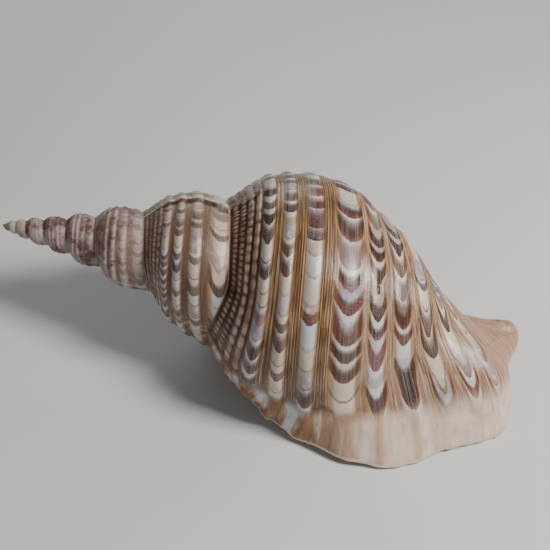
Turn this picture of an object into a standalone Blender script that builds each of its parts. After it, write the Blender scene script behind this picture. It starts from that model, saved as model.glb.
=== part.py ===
"""A triton's trumpet shell, lying on its aperture, as one closed solid.

The shell is described in its own coiling frame: `a` runs along the coiling axis from the apex to the
canal, `rho` is the distance from that axis, and `theta` is the growth angle, which is 0 at the edge of
the outer lip and negative towards the apex. All lengths in the coiling frame are millimetres, and the
mesh is in metres.
"""

import bmesh
import bpy
import numpy as np

MM = 0.001
TURN = 360.0

# How the whorls grow
WHORL_GROWTH = 1.56
TURNS = 8
LIP_ANGLE = 131.0
LEAN = 0.07

# The spire is a little longer, slimmer and more bent than an even coil: place along the axis, value
SPIRE_SLIMNESS = [(0.0, 0.94), (60.0, 0.765), (95.0, 0.77), (130.0, 0.865), (180.0, 0.954), (240.0, 0.975),
                  (300.0, 0.96), (371.0, 1.0)]
SPIRE_STRETCH = [(0.0, -21.0), (40.0, -8.0), (80.0, -10.0), (120.0, -7.0), (170.0, -1.5), (230.0, 0.0),
                 (371.0, 0.0)]
SPIRE_RISE = [(0.0, -0.7), (60.0, 3.1), (130.0, 6.2), (185.0, -0.8), (240.0, 0.0), (371.0, 0.0)]

# How the shell lies on the table, in degrees about X and then about Y
REST_ROLL = -15.88
REST_PITCH = 7.74

# The whorl's outline at the lip: place along the axis, radius
SUTURE = (176.3, 59.1)
NEXT_SUTURE = (SUTURE[0] * WHORL_GROWTH, SUTURE[1] * WHORL_GROWTH)
BASE_END = 369.0
WHORL_OUTLINE = [
    SUTURE, (183.7, 68.5), (192.4, 80.5), (202.2, 90.0), (214.4, 95.6), (231.0, 98.9), (243.7, 99.6),
    (256.8, 97.4), NEXT_SUTURE, (296.6, 78.4), (324.5, 60.8), (349.3, 37.2), (BASE_END, 24.0), (400.0, 0.0),
    (440.0, -30.0)]

# Spiral cords: place on the outline, width, height
CORDS = [
    (179.6, 4.6, 1.0), (184.6, 4.2, 1.0), (189.6, 4.8, 1.3), (194.9, 4.8, 1.4),
    (202.5, 9.5, 2.8), (217.6, 9.5, 2.8), (235.0, 12.5, 2.5), (259.5, 20.5, 1.9),
    (288.5, 13.5, 1.7), (311.5, 14.5, 1.5), (337.0, 10.0, 1.3), (355.0, 8.0, 1.0)]

# Varices, the old lips left behind every two thirds of a turn
VARIX_STEP = 240.0
VARIX_RISE = 15.0
VARIX_FALL = 4.0
VARIX_HEIGHT = 0.05

# The pillar round the axis, and the canal that bends at its end: place along the axis, value
PILLAR_END = 371.5
LAST_ROW = 409.0
PILLAR_RADIUS = [(0.0, 0.6), (110.0, 5.0), (180.0, 8.5), (240.0, 11.0), (330.0, 11.0), (356.0, 9.5),
                 (PILLAR_END, 5.0)]
PILLAR_BLEND = 4.0
CANAL_BEND = [(0.0, 0.0), (270.0, 0.0), (300.0, 6.0), (330.0, 10.8), (344.0, 10.8), (358.0, 7.5),
              (PILLAR_END, 2.5)]
CANAL_BEND_ANGLE = 140.0
CANAL_BEND_REACH = (14.0, 75.0)

# The edge of the outer lip: row on the outline, place along the axis, radius
LIP_EDGE = [
    (176.3, 159.3, 64.5), (184.0, 166.5, 73.0), (190.0, 175.0, 80.5), (201.0, 187.5, 89.0),
    (210.0, 200.5, 97.5), (217.0, 209.0, 103.0), (235.0, 232.0, 114.0), (250.0, 250.0, 120.0),
    (260.0, 262.0, 123.5), (275.0, 280.0, 127.5), (289.5, 301.0, 126.5), (301.0, 317.0, 119.0),
    (312.6, 331.0, 107.5), (326.0, 347.0, 97.5), (340.0, 363.0, 89.0), (350.0, 373.0, 80.5),
    (357.0, 377.5, 69.0), (363.0, 376.5, 56.0), (369.0, 371.5, 44.5), (375.0, 368.5, 36.0),
    (383.0, 370.5, 26.0), (393.0, 374.0, 14.0), (401.0, 374.0, 6.5), (409.0, 371.5, 0.0)]
FLARE_ANGLE = [(176.3, 16.0), (250.0, 19.0), (289.5, 26.0), (320.0, 48.0), (350.0, 78.0), (375.0, 95.0),
               (409.0, 105.0)]
FLARE_POWER = 2.0
LIP_CRIMP = 0.6
LIP_SWEEP = [(176.3, 0.0), (190.0, 2.0), (217.0, 5.5), (235.0, 4.5), (250.0, 1.0), (275.0, -2.0),
             (312.6, -1.0), (340.0, 2.0), (357.0, 5.0), (375.0, 2.0), (LAST_ROW, 0.0)]

# Where the last suture climbs back up the whorl before it
CLIMB_ANGLE = 62.0
CLIMB_ROWS = 26.5
CLIMB_FADE = 52.0

# The wall and the hollow behind the aperture
WALL = 3.6
LIP_THICKNESS = 2.6
CALLUS = 1.0
HOLLOW_TURNS = 3.1
HOLLOW_GAP = 2.4
WALL_THINNING = 0.6
WALL_FULL_ANGLE = 30.0
FIRST_BACK_ANGLE = -2.5
HOLLOW_FIRST = (0.0, 5.0, 10.0, 16.0)
HOLLOW_NEAR = 26.0
HOLLOW_STEP = 18.5
HOLLOW_DEEP = TURN + 15.0
HOLLOW_DEEP_STEP = 30.0
WALL_SAMPLES = 240
FLOOR_SAMPLES = 300
ARC_SAMPLES = 120
HOLLOW_POINTS = (21, 12)
HOLLOW_DEEP_POINTS = (11, 7)

# How finely the surface is cut into faces
COLUMN_STEP = 12.0
EXTRA_COLUMNS = (-18.0, -8.0, -4.0, 4.0, -236.0, -116.0)
SPIRE_ROWS = (None, 15, 10, 7, 5, 3, 2, 1, 1)
APEX_PLACE = 4.2

SHELL_COLOUR = (0.66, 0.52, 0.40, 1.0)
SHELL_ROUGHNESS = 0.35


def clear_scene():
    for old in list(bpy.data.objects):
        bpy.data.objects.remove(old, do_unlink=True)


def smooth_curve(points):
    """A smooth curve through the points that never overshoots them."""
    x = np.array([p[0] for p in points], dtype=float)
    y = np.array([p[1] for p in points], dtype=float)
    run = np.diff(x)
    rise = np.diff(y) / run
    slope = np.zeros(len(x))
    slope[0] = rise[0]
    slope[-1] = rise[-1]
    for i in range(1, len(x) - 1):
        if rise[i - 1] * rise[i] > 0.0:
            near = 2.0 * run[i] + run[i - 1]
            far = run[i] + 2.0 * run[i - 1]
            slope[i] = (near + far) / (near / rise[i - 1] + far / rise[i])

    def value(at):
        at = np.clip(np.asarray(at, dtype=float), x[0], x[-1])
        i = np.clip(np.searchsorted(x, at, side="right") - 1, 0, len(x) - 2)
        t = (at - x[i]) / run[i]
        start = y[i] * (1.0 + 2.0 * t) * (1.0 - t) ** 2 + slope[i] * run[i] * t * (1.0 - t) ** 2
        finish = y[i + 1] * t ** 2 * (3.0 - 2.0 * t) + slope[i + 1] * run[i] * t ** 2 * (t - 1.0)
        return start + finish

    return value


def smoothstep(low, high, value):
    t = np.clip((value - low) / (high - low), 0.0, 1.0)
    return t * t * (3.0 - 2.0 * t)


outline_radius = smooth_curve(WHORL_OUTLINE)
spire_slimness = smooth_curve(SPIRE_SLIMNESS)
spire_stretch = smooth_curve(SPIRE_STRETCH)
spire_rise = smooth_curve(SPIRE_RISE)
pillar_radius = smooth_curve(PILLAR_RADIUS)
canal_bend = smooth_curve(CANAL_BEND)
lip_place = smooth_curve([(row, place) for row, place, radius in LIP_EDGE])
lip_radius = smooth_curve([(row, radius) for row, place, radius in LIP_EDGE])
flare_angle = smooth_curve(FLARE_ANGLE)
lip_sweep = smooth_curve(LIP_SWEEP)


def stage(theta):
    """Size of the whorl at this growth angle, against its size at the lip."""
    return WHORL_GROWTH ** (theta / TURN)


def cord_height(row):
    """The rounded spiral cords that stand up from the outline."""
    height = np.zeros_like(row)
    for place, width, rise in CORDS:
        across = np.clip(np.abs(row - place) / (0.5 * width), 0.0, 1.0)
        height += rise * (1.0 - across ** 2.6) ** 1.2
    return height


def varix_height(theta):
    """An old lip: it rises slowly as the shell grows and then drops off."""
    after = np.mod(theta + 0.5 * VARIX_STEP, VARIX_STEP) - 0.5 * VARIX_STEP
    rising = smoothstep(-VARIX_RISE, 0.0, after)
    falling = 1.0 - smoothstep(0.0, VARIX_FALL, after)
    return VARIX_HEIGHT * np.where(after < 0.0, rising, falling) * (theta < -0.5 * VARIX_STEP)


def last_row_seen(theta):
    """Row where the next whorl covers this one. It is higher just behind the lip."""
    climb = smoothstep(-CLIMB_ANGLE, 0.0, theta + TURN)
    return NEXT_SUTURE[0] - CLIMB_ROWS * climb


def whorl_point(theta, row):
    """Place along the axis and radius of the outer surface, without the lip's flare or the climb."""
    s = stage(theta)
    on_pillar = np.clip((row - BASE_END) / (LAST_ROW - BASE_END), 0.0, 1.0)
    a = s * np.minimum(row, BASE_END)
    a = a + (PILLAR_END - a) * on_pillar
    place = a / s
    whorl = outline_radius(place) * (1.0 + varix_height(theta)) + cord_height(place)
    pillar = pillar_radius(a) / s
    return a, s * 0.5 * (whorl + pillar + np.sqrt((whorl - pillar) ** 2 + PILLAR_BLEND))


def outer_point(theta, row):
    """Growth angle, place along the axis and radius of the finished outer surface."""
    theta, row = np.broadcast_arrays(np.asarray(theta, dtype=float), np.asarray(row, dtype=float))
    a, rho = whorl_point(theta, row)
    covered_a, covered_rho = whorl_point(theta - TURN, last_row_seen(theta - TURN))
    start_a, start_rho = whorl_point(theta, np.full_like(row, SUTURE[0]))
    fade = 1.0 - smoothstep(SUTURE[0], SUTURE[0] + CLIMB_FADE, row)
    a = a + (covered_a - start_a) * fade
    rho = rho + (covered_rho - start_rho) * fade
    reach = flare_angle(row)
    flare = np.clip(1.0 + theta / reach, 0.0, 1.0) ** FLARE_POWER
    crimp = LIP_CRIMP * cord_height(row)
    edge_a = np.where(row <= SUTURE[0], a, lip_place(row))
    edge_rho = np.where(row <= SUTURE[0], rho, lip_radius(row) + crimp)
    return theta + lip_sweep(row) * flare, a + (edge_a - a) * flare, rho + (edge_rho - rho) * flare


def coiled(theta, a, rho):
    """Point in the coiling frame before the shell's lean and the canal's bend."""
    angle = np.radians(LIP_ANGLE + theta)
    return np.stack([a, -rho * np.sin(angle), rho * np.cos(angle)], axis=-1)


def bent(point):
    """The whorls lean a little on the axis, and the canal bends towards the lip."""
    a = point[..., 0]
    rho = np.hypot(point[..., 1], point[..., 2])
    bend = canal_bend(a) * (1.0 - smoothstep(CANAL_BEND_REACH[0], CANAL_BEND_REACH[1], rho))
    angle = np.radians(CANAL_BEND_ANGLE)
    slim = spire_slimness(a)
    x = a + spire_stretch(a) + LEAN * point[..., 2] * smoothstep(0.0, 40.0, rho)
    y = slim * point[..., 1] - bend * np.sin(angle)
    z = slim * point[..., 2] + bend * np.cos(angle) + spire_rise(a)
    return np.stack([x, y, z], axis=-1)


def outer_surface(theta, row):
    return coiled(*outer_point(theta, row))


def inner_wall(theta, rows, thickness):
    """The inner side of the outer wall, a wall's thickness under the outer surface."""
    step = 0.5
    here = outer_surface(theta, rows)
    along = outer_surface(theta, np.minimum(rows + step, LAST_ROW)) - outer_surface(theta, rows - step)
    growing = outer_surface(min(theta + step, 0.0), rows) - outer_surface(theta - step, rows)
    normal = np.cross(growing, along)
    normal /= np.maximum(np.linalg.norm(normal, axis=1, keepdims=True), 1e-9)
    return here - normal * thickness


def resample(points, count):
    """The same open line with evenly spaced points."""
    lengths = np.linalg.norm(np.diff(points, axis=0), axis=1)
    travelled = np.concatenate([[0.0], np.cumsum(lengths)])
    wanted = np.linspace(0.0, travelled[-1], count)
    return np.stack([np.interp(wanted, travelled, points[:, i]) for i in range(3)], axis=1)


def floor_radius(theta, places, callus):
    """Radius of the whorl before, or of the pillar, which is the inner side of the hollow."""
    rows = np.linspace(SUTURE[0] + 20.0, LAST_ROW, FLOOR_SAMPLES)
    floor_a, floor_rho = whorl_point(np.full_like(rows, theta - TURN), rows)
    return np.interp(places, floor_a, floor_rho) + callus


def open_wall(theta, thickness, callus):
    """The stretch of the inner wall that stands clear of the whorl before."""
    rows = np.linspace(SUTURE[0] + 1.0, LAST_ROW - 0.5, WALL_SAMPLES)
    wall = inner_wall(theta, rows, thickness)
    gap = np.hypot(wall[:, 1], wall[:, 2]) - floor_radius(theta, wall[:, 0], callus)
    clear = gap > HOLLOW_GAP * stage(theta)
    first = int(np.argmax(np.where(rows < BASE_END, gap, 0.0)))
    last = first
    while first > 0 and clear[first - 1]:
        first -= 1
    while last < len(rows) - 1 and clear[last + 1]:
        last += 1
    return wall[first:last + 1]


def hollow_section(theta, back_angle, thickness, callus):
    """One closed loop of the hollow, as two lines: down the outer wall, and back up the inner side."""
    wall = open_wall(theta, thickness, callus)
    behind = open_wall(back_angle, thickness, callus)
    places = np.linspace(behind[-1, 0], behind[0, 0], ARC_SAMPLES)
    inner_side = coiled(np.full_like(places, back_angle), places, floor_radius(back_angle, places, callus))
    outer_count, inner_count = HOLLOW_POINTS if theta > -TURN else HOLLOW_DEEP_POINTS
    return resample(wall, outer_count), resample(inner_side, inner_count)


def column_angles():
    """Growth angles of the columns in one turn, from just after one lip to the next."""
    regular = -np.arange(0.0, TURN, COLUMN_STEP)
    extra = np.array([angle if angle <= 0.0 else angle - TURN for angle in EXTRA_COLUMNS])
    return np.unique(np.concatenate([regular, extra]))


def cord_rows(spacing):
    """Rows at the foot and on the top of every cord, with close ones left out."""
    rows = [SUTURE[0], NEXT_SUTURE[0], 226.0, 246.0, 300.0, 325.0, 346.0]
    for place, width, rise in CORDS:
        rows += [place - 0.5 * width, place, place + 0.5 * width]
        if width > 12.0:
            rows += [place - 0.3 * width, place + 0.3 * width]
    rows += [362.0, BASE_END, 376.0, 386.0, 397.0]
    kept = [SUTURE[0]]
    for row in np.unique(rows):
        if row - kept[-1] > spacing:
            kept.append(row)
    return np.array(kept)


class ShellMesh:
    """Collects points and faces, and joins lines of points that have unlike counts."""

    def __init__(self):
        self.points = []
        self.faces = []

    def add(self, points):
        first = len(self.points)
        self.points.extend([tuple(p) for p in points])
        return list(range(first, len(self.points)))

    def spread(self, line):
        """How far along the line each of its points lies, from 0 to 1."""
        points = np.array([self.points[i] for i in line])
        travelled = np.concatenate([[0.0], np.cumsum(np.linalg.norm(np.diff(points, axis=0), axis=1))])
        return travelled / max(travelled[-1], 1e-9)

    def join(self, left, right):
        """Triangles between two lines that run the same way."""
        left_at = self.spread(left)
        right_at = self.spread(right)
        i = 0
        j = 0
        while i < len(left) - 1 or j < len(right) - 1:
            step_left = j == len(right) - 1
            if i < len(left) - 1 and j < len(right) - 1:
                step_left = left_at[i + 1] + left_at[i] < right_at[j + 1] + right_at[j]
            if step_left:
                corner = (left[i], left[i + 1], right[j])
                i += 1
            else:
                corner = (left[i], right[j + 1], right[j])
                j += 1
            if len(set(corner)) == 3:
                self.faces.append(corner)


def add_outer_surface(mesh):
    """The whole outside: each whorl's lower edge is the upper edge of the whorl after it."""
    turn = column_angles()
    angles = np.concatenate([turn - TURN * back for back in range(TURNS - 1, -1, -1)])
    angles = np.concatenate([[-TURN * TURNS], angles])
    per_turn = len(turn)
    last_rows = cord_rows(2.2)
    whorl_before_rows = cord_rows(4.0)
    sutures = []
    for theta in angles:
        sutures += mesh.add(outer_surface(theta, np.array([SUTURE[0]])))
    pole = mesh.add([(PILLAR_END, 0.0, 0.0)])[0]
    columns = []
    deep_parts = []
    for k, theta in enumerate(angles):
        turns_back = int(np.floor((-theta - 1e-6) / TURN)) if theta < 0.0 else 0
        seen = last_row_seen(theta)
        if theta >= -TURN:
            rows = last_rows[1:]
        else:
            count = SPIRE_ROWS[turns_back]
            rows = np.linspace(SUTURE[0], seen, count + 2)[1:-1]
            if turns_back == 1:
                rows = whorl_before_rows[(whorl_before_rows > SUTURE[0]) & (whorl_before_rows < seen - 2.0)]
        if theta == -TURN:
            above = rows[rows < seen - 1.5]
            below = rows[rows > seen + 1.5]
            column = [sutures[k]] + mesh.add(outer_surface(theta, above)) + [sutures[k + per_turn]]
            deep = [sutures[k + per_turn]] + mesh.add(outer_surface(theta, below)) + [pole]
            columns.append(column)
            deep_parts = deep
        elif theta > -TURN:
            columns.append([sutures[k]] + mesh.add(outer_surface(theta, rows)) + [pole])
        else:
            columns.append([sutures[k]] + mesh.add(outer_surface(theta, rows)) + [sutures[k + per_turn]])
    for k in range(len(angles) - 1):
        left = columns[k]
        if angles[k] == -TURN:
            left = columns[k] + deep_parts[1:]
        mesh.join(left, columns[k + 1])
    apex_ring = sutures[:per_turn + 1] + columns[0][-2:0:-1]
    apex = mesh.add([(APEX_PLACE, 0.0, 0.0)])[0]
    for i, point in enumerate(apex_ring):
        mesh.faces.append((apex, point, apex_ring[(i + 1) % len(apex_ring)]))
    return columns[-1], deep_parts


def add_hollow(mesh, lip, inner_edge):
    """The aperture and the coiled hollow behind it, closed off deep inside."""
    near = np.arange(HOLLOW_NEAR, TURN, HOLLOW_STEP)
    deep = np.arange(HOLLOW_DEEP, HOLLOW_TURNS * TURN, HOLLOW_DEEP_STEP)
    angles = -np.concatenate([HOLLOW_FIRST, near, deep])
    outer_line = lip
    inner_line = inner_edge[::-1]
    for theta in angles:
        depth = smoothstep(0.0, WALL_FULL_ANGLE, -theta)
        thickness = (LIP_THICKNESS + (WALL - LIP_THICKNESS) * depth) * stage(theta) ** WALL_THINNING
        back_angle = theta if theta < 0.0 else FIRST_BACK_ANGLE
        outer_arc, inner_arc = hollow_section(theta, back_angle, thickness, CALLUS * depth)
        outer_ids = mesh.add(outer_arc)
        inner_ids = mesh.add(inner_arc)
        mesh.join(outer_line, outer_ids)
        mesh.join(inner_line, inner_ids)
        mesh.join([outer_line[-1], inner_line[0]], [outer_ids[-1], inner_ids[0]])
        mesh.join([inner_line[-1], outer_line[0]], [inner_ids[-1], outer_ids[0]])
        outer_line = outer_ids
        inner_line = inner_ids
    ring = outer_line + inner_line
    middle = mesh.add([np.mean([mesh.points[i] for i in ring], axis=0)])[0]
    for i, point in enumerate(ring):
        mesh.faces.append((middle, point, ring[(i + 1) % len(ring)]))


def shell_material():
    material = bpy.data.materials.new("shell")
    material.use_nodes = True
    surface = material.node_tree.nodes["Principled BSDF"]
    surface.inputs["Base Color"].default_value = SHELL_COLOUR
    surface.inputs["Roughness"].default_value = SHELL_ROUGHNESS
    surface.inputs["Metallic"].default_value = 0.0
    return material


def build_shell():
    mesh = ShellMesh()
    lip, inner_edge = add_outer_surface(mesh)
    add_hollow(mesh, lip, inner_edge)
    points = bent(np.array(mesh.points)) * MM
    data = bpy.data.meshes.new("triton_shell")
    data.from_pydata(points.tolist(), [], mesh.faces)
    solid = bmesh.new()
    solid.from_mesh(data)
    bmesh.ops.recalc_face_normals(solid, faces=solid.faces)
    solid.to_mesh(data)
    solid.free()
    data.materials.append(shell_material())
    data.shade_smooth()
    shell = bpy.data.objects.new("triton_shell", data)
    collection = bpy.data.collections.new("tritons_trumpet")
    bpy.context.scene.collection.children.link(collection)
    collection.objects.link(shell)
    return shell


def lay_on_table(shell):
    """Turn the shell to the way it rests, with its lowest point at z = 0 and its middle over the origin."""
    shell.rotation_euler = (np.radians(REST_ROLL), np.radians(REST_PITCH), 0.0)
    bpy.context.view_layer.update()
    turned = shell.matrix_world.to_3x3()
    corners = np.array([turned @ v.co for v in shell.data.vertices])
    low = corners.min(axis=0)
    high = corners.max(axis=0)
    shell.location = (-(low[0] + high[0]) / 2.0, -(low[1] + high[1]) / 2.0, -low[2])


def main():
    clear_scene()
    shell = build_shell()
    lay_on_table(shell)


main()
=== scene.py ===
import bmesh
import bpy
import numpy as np
from mathutils import Matrix, Vector


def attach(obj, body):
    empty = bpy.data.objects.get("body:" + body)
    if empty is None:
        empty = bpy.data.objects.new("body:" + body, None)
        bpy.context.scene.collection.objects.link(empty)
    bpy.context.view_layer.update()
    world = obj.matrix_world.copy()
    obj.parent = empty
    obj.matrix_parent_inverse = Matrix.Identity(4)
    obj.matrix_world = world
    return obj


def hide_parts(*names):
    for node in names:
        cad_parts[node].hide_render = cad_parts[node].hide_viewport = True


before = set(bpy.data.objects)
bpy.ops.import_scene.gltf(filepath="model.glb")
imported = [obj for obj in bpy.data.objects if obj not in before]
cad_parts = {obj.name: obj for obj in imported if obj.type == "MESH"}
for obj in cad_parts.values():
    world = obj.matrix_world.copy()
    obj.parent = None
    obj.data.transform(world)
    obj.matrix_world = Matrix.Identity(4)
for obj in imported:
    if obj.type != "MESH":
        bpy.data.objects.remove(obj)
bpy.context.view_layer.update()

# The shell's coiling frame is the one of the CAD: `a` along the axis, `rho` from it, `theta` the growth
# angle, `row` the place on the whorl's outline. Millimetres and degrees.

MM = 0.001
TURN = 360.0

# How the whorls grow
WHORL_GROWTH = 1.56
TURNS = 8
LIP_ANGLE = 131.0
LEAN = 0.07
LEAN_REACH = 40.0

# The spire is a little longer, slimmer and more bent than an even coil: place along the axis, value
SPIRE_SLIMNESS = [(0.0, 1.6), (14.0, 1.08), (60.0, 0.765), (95.0, 0.77), (130.0, 0.865), (180.0, 0.954),
                  (240.0, 0.975), (300.0, 0.96), (371.0, 1.0)]
SPIRE_STRETCH = [(0.0, -21.0), (40.0, -8.0), (80.0, -10.0), (120.0, -7.0), (170.0, -1.5), (230.0, 0.0),
                 (371.0, 0.0)]
SPIRE_RISE = [(0.0, -0.7), (60.0, 3.1), (130.0, 6.2), (185.0, -0.8), (240.0, 0.0), (371.0, 0.0)]

# How the shell lies on the table: rolled about X, then pitched about Y, in degrees
REST_ROLL = -15.88
REST_PITCH = 7.74

# The whorl's outline at the lip: place along the axis, radius
SUTURE = (176.3, 59.1)
NEXT_SUTURE = (SUTURE[0] * WHORL_GROWTH, SUTURE[1] * WHORL_GROWTH)
BASE_END = 369.0
WHORL_OUTLINE = [
    SUTURE, (183.7, 68.5), (192.4, 80.5), (202.2, 90.0), (214.4, 95.6), (231.0, 98.9), (243.7, 99.6),
    (256.8, 97.4), NEXT_SUTURE, (296.6, 78.4), (324.5, 60.8), (349.3, 37.2), (BASE_END, 24.0), (400.0, 0.0),
    (440.0, -30.0)]

# Spiral cords as the photograph shows them, the first four beaded: place on the outline, width, height
CORDS = [
    (179.6, 4.6, 1.0), (184.6, 4.2, 1.0), (189.6, 4.8, 1.3), (194.9, 4.8, 1.4),
    (202.5, 9.5, 2.8), (217.6, 9.5, 2.8), (236.5, 12.5, 2.5), (263.0, 18.0, 1.9),
    (284.5, 11.5, 1.7), (303.5, 12.0, 1.5), (322.0, 10.0, 1.3), (338.0, 9.0, 1.1), (352.5, 7.0, 0.9)]

# Varices, the old lips left behind every two thirds of a turn
VARIX_STEP = 240.0
VARIX_RISE = 15.0
VARIX_FALL = 4.0
VARIX_HEIGHT = 0.05

# The pillar round the axis, and the canal that bends at its end: place along the axis, value
PILLAR_END = 371.5
LAST_ROW = 409.0
PILLAR_RADIUS = [(0.0, 0.6), (110.0, 5.0), (180.0, 8.5), (240.0, 11.0), (330.0, 11.0), (356.0, 9.5),
                 (PILLAR_END, 5.0)]
PILLAR_BLEND = 4.0
CANAL_BEND = [(0.0, 0.0), (270.0, 0.0), (300.0, 6.0), (330.0, 10.8), (344.0, 10.8), (358.0, 7.5),
              (PILLAR_END, 2.5)]
CANAL_BEND_ANGLE = 140.0
CANAL_BEND_REACH = (14.0, 75.0)

# The edge of the outer lip: row on the outline, place along the axis, radius
LIP_EDGE = [
    (176.3, 159.3, 64.5), (184.0, 166.5, 73.0), (190.0, 175.0, 80.5), (201.0, 187.5, 89.0),
    (210.0, 200.5, 97.5), (217.0, 209.0, 103.0), (235.0, 232.0, 114.0), (250.0, 250.0, 120.0),
    (260.0, 262.0, 123.5), (275.0, 280.0, 127.5), (289.5, 301.0, 126.5), (301.0, 317.0, 119.0),
    (312.6, 331.0, 107.5), (326.0, 347.0, 97.5), (340.0, 363.0, 89.0), (350.0, 373.0, 80.5),
    (357.0, 377.5, 69.0), (363.0, 376.5, 56.0), (369.0, 371.5, 44.5), (375.0, 368.5, 36.0),
    (383.0, 370.5, 26.0), (393.0, 374.0, 14.0), (401.0, 374.0, 6.5), (409.0, 371.5, 0.0)]
FLARE_ANGLE = [(176.3, 16.0), (250.0, 19.0), (289.5, 26.0), (320.0, 48.0), (350.0, 78.0), (375.0, 95.0),
               (409.0, 105.0)]
FLARE_POWER = 2.0
LIP_CRIMP = 0.6
LIP_CRIMP_ENDS = (395.0, 405.0)
LIP_SWEEP = [(176.3, 0.0), (190.0, 2.0), (217.0, 5.5), (235.0, 4.5), (250.0, 1.0), (275.0, -2.0),
             (312.6, -1.0), (340.0, 2.0), (357.0, 5.0), (375.0, 2.0), (LAST_ROW, 0.0)]

# The half round of the lip's edge: the rows where it begins and ends, and where round it the lines lie
ROUND_EDGE_BEGINS = (SUTURE[0], SUTURE[0] + 5.0)
ROUND_EDGE_ENDS = (401.0, 408.0)
ROUND_EDGE_LINES = (0.3, 0.7)

# Where the last suture climbs back up the whorl before it
CLIMB_ANGLE = 62.0
CLIMB_ROWS = 26.5
CLIMB_FADE = 52.0

# The wall and the hollow behind the aperture
WALL = 3.6
LIP_THICKNESS = 2.6
CALLUS = 1.0
HOLLOW_TURNS = 3.1
HOLLOW_GAP = 2.4
WALL_THINNING = 0.6
WALL_FULL_ANGLE = 30.0
FIRST_BACK_ANGLE = -2.5

# Where the tip of the apex lies along the axis
APEX_PLACE = 3.0

# Where the shell lies, as in the CAD
SHELL_PLACE = (-0.177259, 0.018844, 0.08942)

# How finely the surface is cut: degrees to a column, and finer columns on the rows of the first beads
COLUMN_STEP = 1.6
FINE_SPLIT = 3
FINE_END = 187.0
FINE_ROWS = 16
BEAD_END = 197.75
BEAD_ROWS = 17
CORD_ROW_SPACING = 2.2
CORD_LEAST_ROWS = 5
CANAL_ROWS_END = 405.0
CANAL_ROWS = 13
SUTURE_CLEARANCE = 0.7
LEAST_ROW_SPACING = 0.35
ROWS_OF_OLD_WHORLS = (None, 54, 40, 30, 20, 12, 7, 5, 3)
OLD_WHORL_ROW_POWER = 1.25

# Fine threads between the cords: first row, last row, how many
THREADS = [(207.25, 212.85, 2), (222.35, 230.25, 4), (242.75, 254.0, 6), (272.0, 278.75, 4),
           (290.25, 297.5, 4), (309.5, 317.0, 4), (327.0, 333.5, 3), (342.5, 349.0, 3), (356.0, 369.0, 6)]
THREAD_HEIGHT = 0.55
THREAD_UNEVEN = 0.5
THREAD_WAVES = 1.3
THREAD_SLANT = 0.11
THREADS_FADE = 40.0

# Beads on the cords under the suture: how many in a turn, how deep, sharpness
BEADS = [(96, 0.85, 0.55), (92, 0.8, 0.7), (64, 0.75, 0.8), (48, 0.6, 0.8)]
BEAD_SLANT = 0.02
BEAD_UNEVEN = 0.35

# How round a cord's top and how soft its foot is
CORD_TOP = 2.6
CORD_FOOT = 1.2

# The height of the relief against plain cords, the height of the growth lines, and the relief that counts
# as high for the colours
BEAD_LIFT = 1.5
CORD_LIFT = 1.15
CORD_UNEVEN = 0.16
FLARE_LIFT = 1.1
OLD_WHORL_LIFT = 0.3
GROWTH_LINE_HEIGHT = 0.22
GROWTH_LINE_SLANT = 0.0006
FULL_LIFT = 2.4

# Where the whorl folds into the smooth flare. At the canal the fold comes earlier, is wider and has no step
FOLD_ANGLE = -13.5
FOLD_UNEVEN = 1.2
FOLD_WAVE = 0.045
FOLD_WIDTH = 3.0
FOLD_STEP = 1.9
FOLD_CANAL_SHIFT = 12.0
FOLD_SHIFT_ROWS = (290.0, 350.0)
FOLD_CANAL_WIDTH = 11.0
FOLD_WIDTH_ROWS = (280.0, 340.0)
FOLD_STEP_ROWS = (300.0, 340.0)

# The worn whorls of the spire: turns back from the lip
WORN_TURNS = (-3.0, -1.05)

# The ripples of the lip's edge, and the chipped stretch next to the canal
EDGE_RIPPLE = 0.8
EDGE_RIPPLE_ROWS = (SUTURE[0] + 4.0, SUTURE[0] + 14.0)
CHIP_HEIGHT = 1.5
CHIP_WAVE = 0.9
CHIP_BEGINS = (343.0, 348.0)
CHIP_ENDS = (357.0, 362.0)

# Colour cells on the cords: cells in a turn, depth of the scallop in cells
CELLS = [(30.0, 0.2), (30.0, 0.2), (24.0, 0.3), (20.0, 0.3), (44.0, 0.5), (46.0, 0.42), (38.0, 0.3),
         (34.0, 0.48), (30.0, 0.5), (28.0, 0.55), (26.0, 0.7), (26.0, 0.9), (26.0, 0.9)]
CELL_SHIFT = 0.37
CELL_UNEVEN = 0.4
CELL_WAVES = 1.7
CELL_EDGE = (0.86, 1.1)
CELL_SPILL = 0.2
FIRST_SPILLING_CORD = 7

# The hidden side: teeth inside the lip and wrinkles on the columella
TOOTH_PAIRS = (206.0, 222.0, 239.0, 257.0, 275.0, 293.0, 311.0, 329.0, 344.0)
TOOTH_APART = 2.9
TOOTH_WIDTH = 2.3
TOOTH_HEIGHT = 1.7
TOOTH_BEGINS = (0.6, 3.0)
TOOTH_ENDS = (8.0, 14.0)
WRINKLE_STEP = 5.6
WRINKLE_HEIGHT = 1.3
WRINKLE_TWIST = 90.0
WRINKLE_UNEVEN = 0.8
WRINKLE_SHARPNESS = 1.5
WRINKLE_BEGINS = (215.0, 260.0)
WRINKLE_ENDS = (352.0, 368.0)
WRINKLE_FADES = (25.0, 80.0)

# The sections of the hollow: growth angles back from the lip, and degrees between the deeper ones
NEAR_SECTIONS = [0.0, 0.8, 1.6, 2.4, 3.4, 4.6, 6.0, 7.5, 9.0, 10.5, 12.0, 14.0, 17.0, 20.0]
SECTION_STEPS = [(24.0, 90.0, 4.0), (90.0, TURN, 7.0), (TURN, HOLLOW_TURNS * TURN, 15.0)]

# Points on the two lines of each hollow section: down to this angle, outer wall, pillar side
HOLLOW_COUNTS = [(14.0, 330, 130), (24.0, 160, 100), (90.0, 80, 70), (TURN, 50, 34),
                 (HOLLOW_TURNS * TURN, 26, 16)]
WALL_SAMPLES = 480
FLOOR_SAMPLES = 500
PILLAR_SAMPLES = 360

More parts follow.
